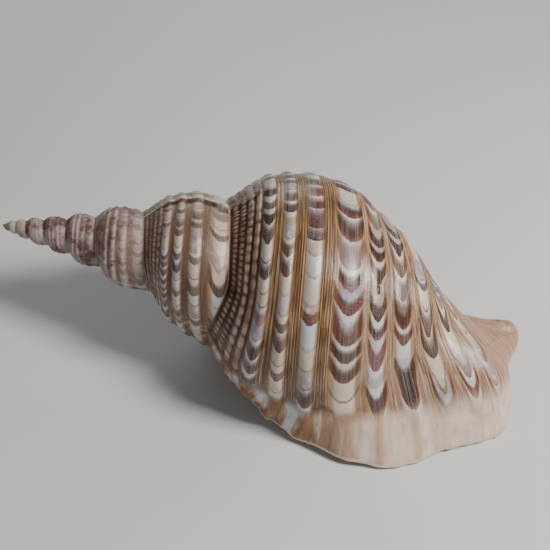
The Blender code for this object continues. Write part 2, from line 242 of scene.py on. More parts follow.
# Half the side of the floor, and where the lights point, in metres
FLOOR_REACH = 4.0
LIGHT_TARGET = (0.0, 0.0, 0.05)

# The photograph's camera, in the coiling frame: degrees round, above and rolled; millimetres; pixels of 550
CAMERA_ANGLES = (3.222, 27.342, 9.584)
CAMERA_TARGET = (190.689, 0.0, 2.099)
CAMERA_DISTANCE = 736.7
CAMERA_FOCUS_PIXELS = 1000.7
PICTURE_PIXELS = 550.0
SENSOR_WIDTH = 36.0


def smooth_curve(points):
    """A smooth curve through the points that never overshoots them."""
    x = np.array([p[0] for p in points], dtype=float)
    y = np.array([p[1] for p in points], dtype=float)
    run = np.diff(x)
    rise = np.diff(y) / run
    slope = np.zeros(len(x))
    slope[0] = rise[0]
    slope[-1] = rise[-1]
    for i in range(1, len(x) - 1):
        if rise[i - 1] * rise[i] > 0.0:
            near = 2.0 * run[i] + run[i - 1]
            far = run[i] + 2.0 * run[i - 1]
            slope[i] = (near + far) / (near / rise[i - 1] + far / rise[i])

    def value(at):
        at = np.clip(np.asarray(at, dtype=float), x[0], x[-1])
        i = np.clip(np.searchsorted(x, at, side="right") - 1, 0, len(x) - 2)
        t = (at - x[i]) / run[i]
        start = y[i] * (1.0 + 2.0 * t) * (1.0 - t) ** 2 + slope[i] * run[i] * t * (1.0 - t) ** 2
        finish = y[i + 1] * t ** 2 * (3.0 - 2.0 * t) + slope[i + 1] * run[i] * t ** 2 * (t - 1.0)
        return start + finish

    return value


def smoothstep(low, high, value):
    t = np.clip((value - low) / (high - low), 0.0, 1.0)
    return t * t * (3.0 - 2.0 * t)


outline_radius = smooth_curve(WHORL_OUTLINE)
spire_slimness = smooth_curve(SPIRE_SLIMNESS)
spire_stretch = smooth_curve(SPIRE_STRETCH)
spire_rise = smooth_curve(SPIRE_RISE)
pillar_radius = smooth_curve(PILLAR_RADIUS)
canal_bend = smooth_curve(CANAL_BEND)
lip_place = smooth_curve([(row, place) for row, place, radius in LIP_EDGE])
lip_radius = smooth_curve([(row, radius) for row, place, radius in LIP_EDGE])
flare_angle = smooth_curve(FLARE_ANGLE)
lip_sweep = smooth_curve(LIP_SWEEP)
rng = np.random.default_rng(41)


def waves(count, low, high):
    """Smooth unevenness along one direction: a few sine waves with fixed, uneven lengths."""
    speeds = rng.uniform(low, high, count)
    starts = rng.uniform(0.0, 2.0 * np.pi, count)
    weights = rng.uniform(0.5, 1.0, count)
    weights /= weights.sum()

    def value(x):
        x = np.asarray(x, dtype=float)
        return sum(w * np.sin(v * x + s) for w, v, s in zip(weights, speeds, starts))

    return value


cord_waves = [waves(5, 4.0, 22.0) for cord in CORDS]
growth_waves = waves(9, 60.0, 190.0)
row_waves = waves(6, 0.05, 0.4)
bead_waves = [waves(5, 6.0, 30.0) for cord in BEADS]
edge_waves = waves(7, 0.10, 0.75)


def lip_fold(theta, row):
    """0 on the whorl and 1 on the smooth flare behind the lip's edge."""
    uneven = FOLD_UNEVEN * (row_waves(row) - np.sin(FOLD_WAVE * row))
    start = FOLD_ANGLE + uneven - FOLD_CANAL_SHIFT * smoothstep(*FOLD_SHIFT_ROWS, row)
    width = FOLD_WIDTH + FOLD_CANAL_WIDTH * smoothstep(*FOLD_WIDTH_ROWS, row)
    return smoothstep(start, start + width, theta)


def spire_wear(theta):
    """1 on the old worn whorls of the spire."""
    return 1.0 - smoothstep(WORN_TURNS[0] * TURN, WORN_TURNS[1] * TURN, theta)


def bead_profile(index, theta, row):
    """1 on the beads of this cord, and less between them."""
    count, depth, sharpness = BEADS[index]
    turns = theta / TURN
    slant = BEAD_SLANT * (row - CORDS[index][0])
    phase = count * turns + BEAD_UNEVEN * bead_waves[index](turns) + slant
    valley = np.abs(np.sin(np.pi * phase)) ** sharpness
    return 1.0 - depth * (1.0 - valley)


def ridge(row, place, width, rise):
    """Height of one rounded cord."""
    across = np.clip(np.abs(row - place) / (0.5 * width), 0.0, 1.0)
    return rise * (1.0 - across ** CORD_TOP) ** CORD_FOOT


def relief(theta, row):
    """Height of the cords, beads and threads over the outline."""
    theta, row = np.broadcast_arrays(theta, row)
    height = np.zeros(row.shape)
    turns = theta / TURN
    for index, (place, width, rise) in enumerate(CORDS):
        one = ridge(row, place, width, rise)
        if index < len(BEADS):
            one = BEAD_LIFT * one * bead_profile(index, theta, row)
        else:
            one = CORD_LIFT * one * (1.0 + CORD_UNEVEN * cord_waves[index](turns))
        height = height + one
    young = smoothstep(-TURN - THREADS_FADE, -TURN, theta)
    for first, last, count in THREADS:
        inside = (row >= first) & (row <= last)
        phase = count * (row - first) / (last - first)
        # A band of threads borrows the waves of one of the cords
        uneven = 1.0 + THREAD_UNEVEN * cord_waves[count](THREAD_WAVES * turns + THREAD_SLANT * row)
        height = height + np.where(inside, THREAD_HEIGHT * uneven * np.sin(np.pi * phase) ** 2, 0.0) * young
    fold = lip_fold(theta, row)
    height = height + (FLARE_LIFT * cord_height(row) - height) * fold
    step = -FOLD_STEP * fold * (1.0 - fold) * 4.0 * (1.0 - smoothstep(*FOLD_STEP_ROWS, row))
    worn = spire_wear(theta)
    height = height * (1.0 + OLD_WHORL_LIFT * worn)
    lines = GROWTH_LINE_HEIGHT * growth_waves(turns + GROWTH_LINE_SLANT * row) * (1.0 + worn)
    return height + step + lines


def stage(theta):
    """Size of the whorl at this growth angle, against its size at the lip."""
    return WHORL_GROWTH ** (theta / TURN)


def cord_height(row):
    """The rounded spiral cords that stand up from the outline."""
    return sum(ridge(row, place, width, rise) for place, width, rise in CORDS)


def past_varix(theta):
    """How far the growth angle lies past the nearest old lip."""
    return np.mod(theta + 0.5 * VARIX_STEP, VARIX_STEP) - 0.5 * VARIX_STEP


def varix_height(theta):
    """An old lip: it rises slowly as the shell grows and then drops off."""
    after = past_varix(theta)
    rising = smoothstep(-VARIX_RISE, 0.0, after)
    falling = 1.0 - smoothstep(0.0, VARIX_FALL, after)
    return VARIX_HEIGHT * np.where(after < 0.0, rising, falling) * (theta < -0.5 * VARIX_STEP)


def last_row_seen(theta):
    """Row where the next whorl covers this one. It is higher just behind the lip."""
    climb = smoothstep(-CLIMB_ANGLE, 0.0, theta + TURN)
    return NEXT_SUTURE[0] - CLIMB_ROWS * climb


def whorl_point(theta, row, fine=True):
    """Place along the axis and radius of the outer surface, without the lip's flare or the climb."""
    s = stage(theta)
    on_pillar = np.clip((row - BASE_END) / (LAST_ROW - BASE_END), 0.0, 1.0)
    a = s * np.minimum(row, BASE_END)
    a = a + (PILLAR_END - a) * on_pillar
    place = a / s
    raised = relief(theta, place) if fine else cord_height(place)
    whorl = outline_radius(place) * (1.0 + varix_height(theta)) + raised
    pillar = pillar_radius(a) / s
    return a, s * 0.5 * (whorl + pillar + np.sqrt((whorl - pillar) ** 2 + PILLAR_BLEND))


def outer_point(theta, row, fine=True):
    """Growth angle, place along the axis and radius of the finished outer surface."""
    theta, row = np.broadcast_arrays(np.asarray(theta, dtype=float), np.asarray(row, dtype=float))
    a, rho = whorl_point(theta, row, fine)
    covered_a, covered_rho = whorl_point(theta - TURN, last_row_seen(theta - TURN), False)
    start_a, start_rho = whorl_point(theta, np.full_like(row, SUTURE[0]), False)
    fade = 1.0 - smoothstep(SUTURE[0], SUTURE[0] + CLIMB_FADE, row)
    a = a + (covered_a - start_a) * fade
    rho = rho + (covered_rho - start_rho) * fade
    reach = flare_angle(row)
    flare = np.clip(1.0 + theta / reach, 0.0, 1.0) ** FLARE_POWER
    chipped = CHIP_HEIGHT * np.abs(np.sin(CHIP_WAVE * row))
    chipped = chipped * smoothstep(*CHIP_BEGINS, row) * (1.0 - smoothstep(*CHIP_ENDS, row))
    ripple = (EDGE_RIPPLE * edge_waves(row) + chipped) * smoothstep(*EDGE_RIPPLE_ROWS, row)
    crimp = (LIP_CRIMP * cord_height(row) + ripple) * (1.0 - smoothstep(*LIP_CRIMP_ENDS, row))
    edge_a = np.where(row <= SUTURE[0], a, lip_place(row))
    edge_rho = np.where(row <= SUTURE[0], rho, lip_radius(row) + crimp)
    return theta + lip_sweep(row) * flare, a + (edge_a - a) * flare, rho + (edge_rho - rho) * flare


def coiled(theta, a, rho):
    """Point in the coiling frame before the shell's lean and the canal's bend."""
    angle = np.radians(LIP_ANGLE + theta)
    return np.stack([a, -rho * np.sin(angle), rho * np.cos(angle)], axis=-1)


def bent(point):
    """The whorls lean a little on the axis, and the canal bends towards the lip."""
    a = point[..., 0]
    rho = np.hypot(point[..., 1], point[..., 2])
    bend = canal_bend(a) * (1.0 - smoothstep(*CANAL_BEND_REACH, rho))
    angle = np.radians(CANAL_BEND_ANGLE)
    slim = spire_slimness(a)
    x = a + spire_stretch(a) + LEAN * point[..., 2] * smoothstep(0.0, LEAN_REACH, rho)
    y = slim * point[..., 1] - bend * np.sin(angle)
    z = slim * point[..., 2] + bend * np.cos(angle) + spire_rise(a)
    return np.stack([x, y, z], axis=-1)


def outer_surface(theta, row, fine=True):
    return coiled(*outer_point(theta, row, fine))


def inner_wall(theta, rows, thickness):
    """The inner side of the outer wall, a wall's thickness under the outer surface."""
    step = 0.5
    here = outer_surface(theta, rows, False)
    along = outer_surface(theta, np.minimum(rows + step, LAST_ROW), False)
    along = along - outer_surface(theta, rows - step, False)
    growing = outer_surface(min(theta + step, 0.0), rows, False) - outer_surface(theta - step, rows, False)
    normal = np.cross(growing, along)
    normal /= np.maximum(np.linalg.norm(normal, axis=1, keepdims=True), 1e-9)
    return here - normal * np.reshape(thickness, (-1, 1))


def resample(points, count):
    """The same open line with evenly spaced points."""
    lengths = np.linalg.norm(np.diff(points[:, :3], axis=0), axis=1)
    travelled = np.concatenate([[0.0], np.cumsum(lengths)])
    wanted = np.linspace(0.0, travelled[-1], count)
    return np.stack([np.interp(wanted, travelled, points[:, i]) for i in range(points.shape[1])], axis=1)


class ShellMesh:
    """Collects points with what the colours need to know of each, and faces."""

    def __init__(self):
        self.points = []
        self.facts = []
        self.faces = []

    def add(self, points, theta, row, inside=0.0, pillar=0.0, tooth=0.0):
        """Keeps the points with their facts, and gives the numbers that faces call them by."""
        first = len(self.points)
        columns = np.broadcast_arrays(theta, row, inside, pillar, tooth, np.zeros(len(points)))[:5]
        self.points.extend(np.asarray(points).tolist())
        self.facts.extend(np.stack(columns, axis=1).tolist())
        return list(range(first, len(self.points)))

    def spread(self, line):
        """How far along the line each of its points lies, from 0 to 1."""
        points = np.array([self.points[i] for i in line])
        travelled = np.concatenate([[0.0], np.cumsum(np.linalg.norm(np.diff(points, axis=0), axis=1))])
        return travelled / max(travelled[-1], 1e-9)

    def face(self, corners):
        """Adds a face. A corner that is named twice counts once, and two corners make no face."""
        corners = tuple(dict.fromkeys(corners))
        if len(corners) > 2:
            self.faces.append(corners)

    def join(self, left, right):
        """Faces between two lines that run the same way."""
        if len(left) == len(right):
            for i in range(len(left) - 1):
                self.face((left[i], left[i + 1], right[i + 1], right[i]))
            return
        left_at = self.spread(left)
        right_at = self.spread(right)
        i = 0
        j = 0
        while i < len(left) - 1 or j < len(right) - 1:
            step_left = j == len(right) - 1
            if i < len(left) - 1 and j < len(right) - 1:
                step_left = left_at[i + 1] + left_at[i] < right_at[j + 1] + right_at[j]
            if step_left:
                self.face((left[i], left[i + 1], right[j]))
                i += 1
            else:
                self.face((left[i], right[j + 1], right[j]))
                j += 1


def spaced(rows, least):
    """The rows in order, without those that are too close to the one before."""
    kept = []
    for row in np.unique(np.round(rows, 3)):
        if not kept or row - kept[-1] > least:
            kept.append(float(row))
    return kept


def main_rows(wanted):
    """Rows of the last whorl: close together on the threads, wider on the smooth tops of the cords."""
    rows = [np.linspace(FINE_END, BEAD_END, BEAD_ROWS)]
    for place, width, _ in CORDS[len(BEADS):]:
        count = max(CORD_LEAST_ROWS, int(width / CORD_ROW_SPACING))
        rows.append(place + 0.5 * width * np.linspace(-1.0, 1.0, count + 1))
    for first, last, count in THREADS:
        rows.append(np.linspace(first, last, 2 * count + 1))
    rows.append(np.linspace(BASE_END, CANAL_ROWS_END, CANAL_ROWS))
    rows = np.concatenate(rows)
    rows = rows[np.abs(rows - wanted) > SUTURE_CLEARANCE]
    return np.array(spaced(np.concatenate([rows, [wanted]]), LEAST_ROW_SPACING))


def spire_fractions(count):
    """Where the rows of an older whorl lie, from one suture to the next: closer at the beads."""
    even = np.linspace(0.0, 1.0, count + 1)[1:-1]
    return even ** OLD_WHORL_ROW_POWER


def add_outer_surface(mesh):
    """The whole outside: each whorl's lower edge is the upper edge of the whorl after it."""
    per_turn = int(round(TURN / COLUMN_STEP))
    seen = float(last_row_seen(np.array(-TURN)))
    rows = main_rows(seen)
    seen_at = int(np.argmin(np.abs(rows - seen)))
    fine_rows = np.linspace(SUTURE[0], FINE_END, FINE_ROWS)
    old_angles = np.linspace(-TURN * TURNS, -TURN, per_turn * (TURNS - 1) + 1)[:-1]
    fine_angles = np.linspace(-TURN, 0.0, per_turn * FINE_SPLIT + 1)

    # The sutures and the rows of the first beads run round the shell, the beads' with finer columns
    top = fine_rows[0]
    old_sutures = mesh.add(outer_surface(old_angles, np.full_like(old_angles, top)), old_angles, top)
    fine = [mesh.add(outer_surface(fine_angles, np.full_like(fine_angles, row)), fine_angles, row)
            for row in fine_rows]
    for upper, lower in zip(fine[:-1], fine[1:]):
        mesh.join(upper, lower)
    foot = fine[-1]
    sutures = old_sutures + fine[0][::FINE_SPLIT]

    # The rest of the last whorl, column by column, down to the pole at the canal's end
    pole = mesh.add([(PILLAR_END, 0.0, 0.0)], 0.0, LAST_ROW)[0]
    whole = []
    for i in range(per_turn + 1):
        theta = -TURN + i * COLUMN_STEP
        if i == 0:
            above = mesh.add(outer_surface(theta, rows[1:seen_at]), theta, rows[1:seen_at])
            below = mesh.add(outer_surface(theta, rows[seen_at + 1:]), theta, rows[seen_at + 1:])
            whole.append([foot[0]] + above + [fine[0][-1]] + below + [pole])
        else:
            below = mesh.add(outer_surface(theta, rows[1:]), theta, rows[1:])
            whole.append([foot[i * FINE_SPLIT]] + below + [pole])
    for i in range(per_turn):
        left, right = whole[i], whole[i + 1]
        first = i * FINE_SPLIT
        mesh.faces.append(tuple(foot[first:first + FINE_SPLIT + 1]) + (right[1], left[1]))
        mesh.join(left[1:-1], right[1:-1])
        mesh.faces.append((left[-2], right[-2], pole))
    at_lip = [line[-1] for line in fine[:-1]] + whole[-1]
    at_start = [line[0] for line in fine[:-1]] + whole[0][:seen_at + 1]

    # The older whorls, each from its own suture down to the next one
    columns = []
    for k, theta in enumerate(old_angles):
        turns_back = int(np.floor((-theta - 1e-6) / TURN))
        fractions = spire_fractions(ROWS_OF_OLD_WHORLS[turns_back])
        places = SUTURE[0] + (float(last_row_seen(theta)) - SUTURE[0]) * fractions
        between = mesh.add(outer_surface(theta, places), theta, places)
        columns.append([sutures[k]] + between + [sutures[k + per_turn]])
    for k in range(len(columns)):
        left = columns[k]
        if k == len(columns) - 1:
            mesh.join(left[:-1], at_start[:-1])
            first = (per_turn - 1) * FINE_SPLIT
            mesh.faces.append((left[-2], at_start[-2]) + tuple(fine[0][first:][::-1]))
            continue
        right = columns[k + 1]
        if k + 1 >= len(columns) - per_turn + 1:
            first = (k + per_turn - len(old_angles)) * FINE_SPLIT
            mesh.join(left[:-1], right[:-1])
            mesh.faces.append((left[-2], right[-2]) + tuple(fine[0][first:first + FINE_SPLIT + 1][::-1]))
        else:
            mesh.join(left, right)

    # A fan of faces closes the tip
    ring = sutures[:per_turn + 1] + columns[0][-2:0:-1]
    apex = mesh.add([(APEX_PLACE, 0.0, 0.0)], -TURN * TURNS, SUTURE[0])[0]
    for i, point in enumerate(ring):
        mesh.faces.append((apex, point, ring[(i + 1) % len(ring)]))
    return at_lip, whole[0][seen_at:]


def lip_teeth(theta, rows):
    """Pairs of small ridges inside the outer lip."""
    height = np.zeros_like(rows)
    for middle in TOOTH_PAIRS:
        for side in (-1.0, 1.0):
            across = np.abs(rows - middle - side * TOOTH_APART) / TOOTH_WIDTH
            height = np.maximum(height, np.clip(1.0 - across ** 2, 0.0, 1.0))
    return height * smoothstep(*TOOTH_BEGINS, -theta) * (1.0 - smoothstep(*TOOTH_ENDS, -theta))


def pillar_wrinkles(theta, places):
    """Low wrinkles across the columella, strongest at the aperture."""
    phase = places / WRINKLE_STEP + WRINKLE_UNEVEN * row_waves(places) + theta / WRINKLE_TWIST
    wrinkle = np.abs(np.sin(np.pi * phase)) ** WRINKLE_SHARPNESS
    reach = smoothstep(*WRINKLE_BEGINS, places) * (1.0 - smoothstep(*WRINKLE_ENDS, places))
    return wrinkle * reach * (1.0 - smoothstep(*WRINKLE_FADES, -theta))


def hollow_counts(theta):
    """How many points the two lines of the hollow section at this angle have."""
    for reach, outer_count, inner_count in HOLLOW_COUNTS:
        if -theta <= reach:
            return outer_count, inner_count


def hollow_lines(mesh, theta, back_angle, thickness, callus):
    """One closed loop of the hollow, as two lines of points: the outer wall and the pillar side."""
    rows = np.linspace(SUTURE[0] + 1.0, LAST_ROW - 0.5, WALL_SAMPLES)
    wall = inner_wall(theta, rows, thickness + TOOTH_HEIGHT * lip_teeth(theta, rows))
    back_rows = np.linspace(SUTURE[0] + 20.0, LAST_ROW, FLOOR_SAMPLES)
    outer_count, inner_count = hollow_counts(theta)

    def floor(angle, places):
        back_a, back_rho = whorl_point(np.full_like(back_rows, angle - TURN), back_rows, False)
        return np.interp(places, back_a, back_rho) + callus

    gap = np.hypot(wall[:, 1], wall[:, 2]) - floor(theta, wall[:, 0])
    open_here = gap > HOLLOW_GAP * stage(theta)
    first = last = int(np.argmax(np.where(rows < BASE_END, gap, 0.0)))
    while first > 0 and open_here[first - 1]:
        first -= 1
    while last < len(rows) - 1 and open_here[last + 1]:
        last += 1
    outer = resample(np.column_stack([wall[first:last + 1], rows[first:last + 1]]), outer_count)
    tooth = lip_teeth(theta, outer[:, 3])
    outer_ids = mesh.add(outer[:, :3], theta, outer[:, 3], 1.0, 0.0, tooth)
    places = np.linspace(wall[last, 0], wall[first, 0], PILLAR_SAMPLES)
    radius = floor(back_angle, places) + WRINKLE_HEIGHT * pillar_wrinkles(theta, places)
    pillar_side = coiled(np.full_like(places, back_angle), places, radius)
    inner = resample(np.column_stack([pillar_side, places]), inner_count)
    inner_ids = mesh.add(inner[:, :3], theta, inner[:, 3], 1.0, 1.0, pillar_wrinkles(theta, inner[:, 3]))
    return outer_ids, inner_ids


def add_hollow(mesh, lip, inner_edge):
    """The rounded edge of the lip, the aperture, and the coiled hollow behind it."""
    angles = -np.concatenate([NEAR_SECTIONS] + [np.arange(*deeper) for deeper in SECTION_STEPS])
    outer_line = lip
    inner_line = inner_edge[::-1]
    for theta in angles:
        depth = float(smoothstep(0.0, WALL_FULL_ANGLE, -theta))
        thickness = (LIP_THICKNESS + (WALL - LIP_THICKNESS) * depth) * stage(theta) ** WALL_THINNING
        back_angle = theta if theta < 0.0 else FIRST_BACK_ANGLE
        outer_ids, inner_ids = hollow_lines(mesh, theta, back_angle, thickness, CALLUS * depth)
        if theta == 0.0:
            outer_line = round_edge(mesh, outer_line, outer_ids)
        mesh.join(outer_line, outer_ids)
        mesh.join(inner_line, inner_ids)
        mesh.join([outer_line[-1], inner_line[0]], [outer_ids[-1], inner_ids[0]])
        mesh.join([inner_line[-1], outer_line[0]], [inner_ids[-1], outer_ids[0]])
        outer_line = outer_ids
        inner_line = inner_ids
    ring = outer_line + inner_line
    facts = mesh.facts[ring[0]]
    centre = np.mean([mesh.points[i] for i in ring], axis=0)
    middle = mesh.add([centre], facts[0], facts[1], 1.0, 1.0)[0]
    for i, point in enumerate(ring):
        mesh.faces.append((middle, point, ring[(i + 1) % len(ring)]))


def round_edge(mesh, lip, outer_ids):
    """Carries the lip's outer edge forward in a half round, towards its inner edge."""
    edge = np.array([mesh.points[i] for i in lip])
    rows = np.array([mesh.facts[i][1] for i in lip])
    target = np.array([mesh.points[i] for i in outer_ids])
    target_rows = np.array([mesh.facts[i][1] for i in outer_ids])
    near = np.stack([np.interp(rows, target_rows, target[:, i]) for i in range(3)], axis=1)
    back = outer_surface(-1.0, rows, False)
    onward = edge - back
    onward /= np.maximum(np.linalg.norm(onward, axis=1, keepdims=True), 1e-9)
    fade = smoothstep(*ROUND_EDGE_BEGINS, rows) * (1.0 - smoothstep(*ROUND_EDGE_ENDS, rows))
    line = lip
    for turn in ROUND_EDGE_LINES:
        bulge = onward * (np.sin(np.pi * turn) * 0.5 * LIP_THICKNESS)
        ring = edge + ((near - edge) * turn + bulge) * fade[:, None]
        ids = [lip[0]] + mesh.add(ring[1:-1], 0.0, rows[1:-1], turn) + [lip[-1]]
        mesh.join(line, ids)
        line = ids
    return line


def shade(red, green, blue):
    """A colour given as it is seen on a screen, from 0 to 255, as the linear one that a shader takes."""
    parts = []
    for part in (red, green, blue):
        part = part / 255.0
        parts.append(part / 12.92 if part <= 0.04045 else ((part + 0.055) / 1.055) ** 2.4)
    return tuple(parts) + (1.0,)


def describe(facts):
    """What the colours need at every point of the mesh, as named lists of numbers."""
    theta, row, inside, pillar, tooth = facts.T
    turns = theta / TURN
    across = np.zeros(len(row))
    seed = np.zeros(len(row))
    phase = np.zeros(len(row))
    scallop = np.zeros(len(row))
    cord = np.zeros(len(row))
    nearest = np.argmin(np.stack([np.abs(row - place) / width for place, width, _ in CORDS]), axis=0)
    for index, (place, width, _) in enumerate(CORDS):
        here = nearest == index
        offset = (row - place) / (0.5 * width)
        count, depth = CELLS[index]
        across = np.where(here, np.clip(offset, -1.5, 1.5), across)
        seed = np.where(here, index + 1.0, seed)
        drift = CELL_SHIFT * index + CELL_UNEVEN * cord_waves[index](turns * CELL_WAVES)
        phase = np.where(here, count * turns + drift, phase)
        scallop = np.where(here, depth, scallop)
        spill = CELL_SPILL if index >= FIRST_SPILLING_CORD else 0.0
        beside = smoothstep(CELL_EDGE[0] + spill, CELL_EDGE[1] + spill, np.abs(offset))
        cord = np.where(here, 1.0 - beside, cord)
    lift = relief(theta, row) / FULL_LIFT
    after = np.where(theta < -0.5 * VARIX_STEP, past_varix(theta), VARIX_STEP)
    return {"growth": turns, "place": row, "across": across, "seed": seed, "phase": phase,
            "scallop": scallop, "cord": cord * (1.0 - inside), "lift": lift, "inside": inside,
            "pillar": pillar, "tooth": tooth, "fold": lip_fold(theta, row), "worn": spire_wear(theta),
            "after": after}


class Shader:
    """Short ways to write shader nodes. `growth` and `place` say where a point lies on the shell."""

    def __init__(self, tree):
        self.tree = tree
        self.growth = self.attribute("growth")
        self.place = self.attribute("place")

    def put(self, kind, values, **settings):
        """A node with these inputs, each a plain value or another node's output."""
        node = self.tree.nodes.new(kind)
        for name, value in settings.items():
            setattr(node, name, value)
        for place, value in values.items():
            if isinstance(value, bpy.types.NodeSocket):
                self.tree.links.new(value, node.inputs[place])
            else:
                node.inputs[place].default_value = value
        return node

    def math(self, operation, first, second=0.0, third=0.0):
        return self.put("ShaderNodeMath", {0: first, 1: second, 2: third}, operation=operation).outputs[0]

    def product(self, first, second):
        return self.math("MULTIPLY", first, second)

    def attribute(self, name):
        return self.put("ShaderNodeAttribute", {}, attribute_name=name).outputs["Fac"]

    def step(self, low, high, value):
        """A smooth step from 0 at the first value to 1 at the second, which may be the lower one."""
        node = self.put("ShaderNodeMapRange", {"Value": value, "From Min": low, "From Max": high},
                        interpolation_type="SMOOTHSTEP")
        return node.outputs["Result"]

    def mix(self, amount, first, second):
        node = self.put("ShaderNodeMix", {0: amount, 6: first, 7: second}, data_type="RGBA")
        return node.outputs[2]

    def point(self, x, y, z=0.0):
        return self.put("ShaderNodeCombineXYZ", {0: x, 1: y, 2: z}).outputs[0]

    def noise(self, vector, scale=1.0, detail=2.0, roughness=0.5):
        node = self.put("ShaderNodeTexNoise", {"Vector": vector, "Scale": scale, "Detail": detail,
                                               "Roughness": roughness})
        return node.outputs[0]

    def grain(self, by_turn, by_row, detail, roughness=0.5, seed=0.0):
        """Noise that follows the whorls: how fast it changes with the turns and with the rows."""
        vector = self.point(self.product(self.growth, by_turn), self.product(self.place, by_row), seed)
        return self.noise(vector, 1.0, detail, roughness)

    def chance(self, vector):
        """Three even random numbers for each whole-number place."""
        node = self.put("ShaderNodeTexWhiteNoise", {"Vector": vector})
        parts = self.put("ShaderNodeSeparateColor", {0: node.outputs["Color"]})
        return parts.outputs[0], parts.outputs[1], parts.outputs[2]

    def ramp(self, value, stops):
        """The colour for this value, between stops of place and colour."""
        node = self.put("ShaderNodeValToRGB", {0: value})
        ramp = node.color_ramp
        ramp.elements[0].position, ramp.elements[0].color = stops[0]
        ramp.elements[1].position, ramp.elements[1].color = stops[-1]
        for place, colour in stops[1:-1]:
            ramp.elements.new(place).color = colour
        return node.outputs[0]


CREAM = shade(210, 196, 172)
WHITE = shade(214, 217, 222)
LILAC = shade(176, 166, 182)
BEIGE = shade(190, 162, 140)
PINK = shade(212, 180, 164)
TAN = shade(170, 132, 92)
OLIVE = shade(152, 126, 78)
CHOCOLATE = shade(76, 38, 22)
DARK = shade(48, 22, 14)
MAUVE = shade(104, 64, 54)
RUST = shade(106, 60, 42)
ORANGE = shade(188, 90, 36)
AMBER = shade(156, 88, 50)
CHALK = shade(176, 154, 150)
PLUM = shade(104, 76, 80)
SALMON = shade(232, 168, 120)
IVORY = shade(226, 212, 186)
# The bead band's shaded and lit colours: painted shade between the beads, painted highlight on their tops
BEAD_SHADE_UMBER = shade(100, 70, 52)
BEAD_SHADE_HAZEL = shade(122, 88, 64)
BEAD_LIT_BROWN = shade(146, 108, 82)
BEAD_LIT_TAN = shade(188, 152, 126)
BEAD_LIT_PINK = shade(212, 184, 164)
BEAD_HIGHLIGHT_PALE = shade(230, 206, 190)
OLD_GREY = shade(182, 168, 154)
FLARE_BROWN = shade(136, 94, 62)
# Pink and cream of the flare towards the canal, partly its own colour and partly painted light
FLARE_LIT_PINK = shade(228, 206, 192)
FLARE_LIT_CREAM = shade(232, 220, 202)
FOLD_STAIN = shade(126, 92, 52)
CHALK_PALE = shade(206, 190, 188)
CHALK_DUST = shade(214, 202, 200)
TIP_CREAM = shade(206, 200, 184)

# Rows and turns where the colours change, from none of the change to all of it
BEAD_BAND = (199.0, 196.5)
GROOVES_PALER = (240.0, 262.0)
# Rows where the painted shade between the threads grows weaker
GROOVE_PAINTED_SHADE_FADES = (240.0, 278.0)
FAN_ROWS = (342.0, 368.0)
FLARE_PALER = (232.0, 300.0)
STAINED_ROWS = (300.0, 255.0)
STAINED_TURNS = (-0.022, -0.032)
LIP_EDGE_TURNS = (-0.0016, -0.0004)
CALMER_TURNS = (-0.95, -1.15)
GREYER_TURNS = (-0.98, -1.25)
TIP_TURNS = (-5.6, -6.6)
TOOTH_PERIOD = 17.5

# The same on the inside, by row or by degrees back from the lip
BLOTCH_FIRST_ROWS = (198.0, 203.0)
BLOTCH_LAST_ROWS = (352.0, 346.0)
BLOTCH_NEAR = (1.0, 2.2)
BLOTCH_FAR = (13.5, 11.0)
LIP_INSIDE = (2.0, 14.0)
ORANGE_WITHIN = (20.0, 80.0)
DARK_PILLAR_ROWS = (208.0, 232.0)
DARK_PILLAR_END = (105.0, 60.0)

# How far the cells' borders stray, in cells: in fine teeth, and along the cord
CELL_TEETH = 0.22
CELL_DRIFT = 1.6

# Deepens all colours of the outside a little
COLOUR_GAMMA = 1.22


def cord_colours(s):
    """The pale cells on the cords, each ending in a dark crescent with a sharp edge."""
    across = s.attribute("across")
    seed = s.attribute("seed")
    bend = s.product(s.product(across, across), s.attribute("scallop"))
    ragged = s.grain(160.0, 0.5, 3.0, 0.6, seed)
    drift = s.noise(s.point(s.product(s.growth, 16.0), s.product(seed, 7.3)), 1.0, 1.0)
    cells = s.math("ADD", s.attribute("phase"), bend)
    cells = s.math("ADD", cells, s.product(s.math("SUBTRACT", ragged, 0.5), CELL_TEETH))
    cells = s.math("ADD", cells, s.product(s.math("SUBTRACT", drift, 0.5), CELL_DRIFT))
    cell = s.math("FLOOR", cells)
    along = s.math("SUBTRACT", cells, cell)
    middle = s.math("ADD", cell, 0.5)
    kind, hue, start = s.chance(s.point(middle, seed, 0.5))
    tint, rim, line = s.chance(s.point(middle, seed, 7.5))
    ground = s.ramp(tint, [(0.0, WHITE), (0.35, CREAM), (0.6, IVORY), (0.8, LILAC), (1.0, BEIGE)])
    ground = s.mix(s.step(0.45, 0.75, s.grain(70.0, 0.25, 3.0, seed=seed)), ground, WHITE)
    side = s.step(0.6, 1.0, s.math("ABSOLUTE", across))
    ground = s.mix(s.product(side, 0.8), ground, TAN)
    dark = s.ramp(hue, [(0.0, CHOCOLATE), (0.3, DARK), (0.6, CHOCOLATE), (0.85, MAUVE), (1.0, RUST)])
    fade = s.step(s.math("MULTIPLY_ADD", start, 0.4, 0.03), 0.55, along)
    calmer = s.step(*CALMER_TURNS, s.growth)
    strong = s.step(0.34, 0.46, s.math("MULTIPLY_ADD", calmer, -0.2, kind))
    veins = s.step(0.62, 0.45, s.grain(6.0, 1.3, 3.0, 0.6, seed))
    strong = s.product(strong, s.math("MULTIPLY_ADD", veins, 0.2, 0.8))
    amount = s.product(s.math("POWER", fade, 0.35), strong)
    outline = s.product(s.step(0.8, 0.97, along), s.math("MULTIPLY_ADD", line, 0.6, 0.3))
    amount = s.math("MAXIMUM", amount, outline)
    red = s.product(s.step(0.72, 0.96, along), s.step(0.55, 0.75, rim))
    dark = s.mix(s.product(red, 0.6), dark, AMBER)
    return s.mix(s.product(amount, 0.93), ground, dark)


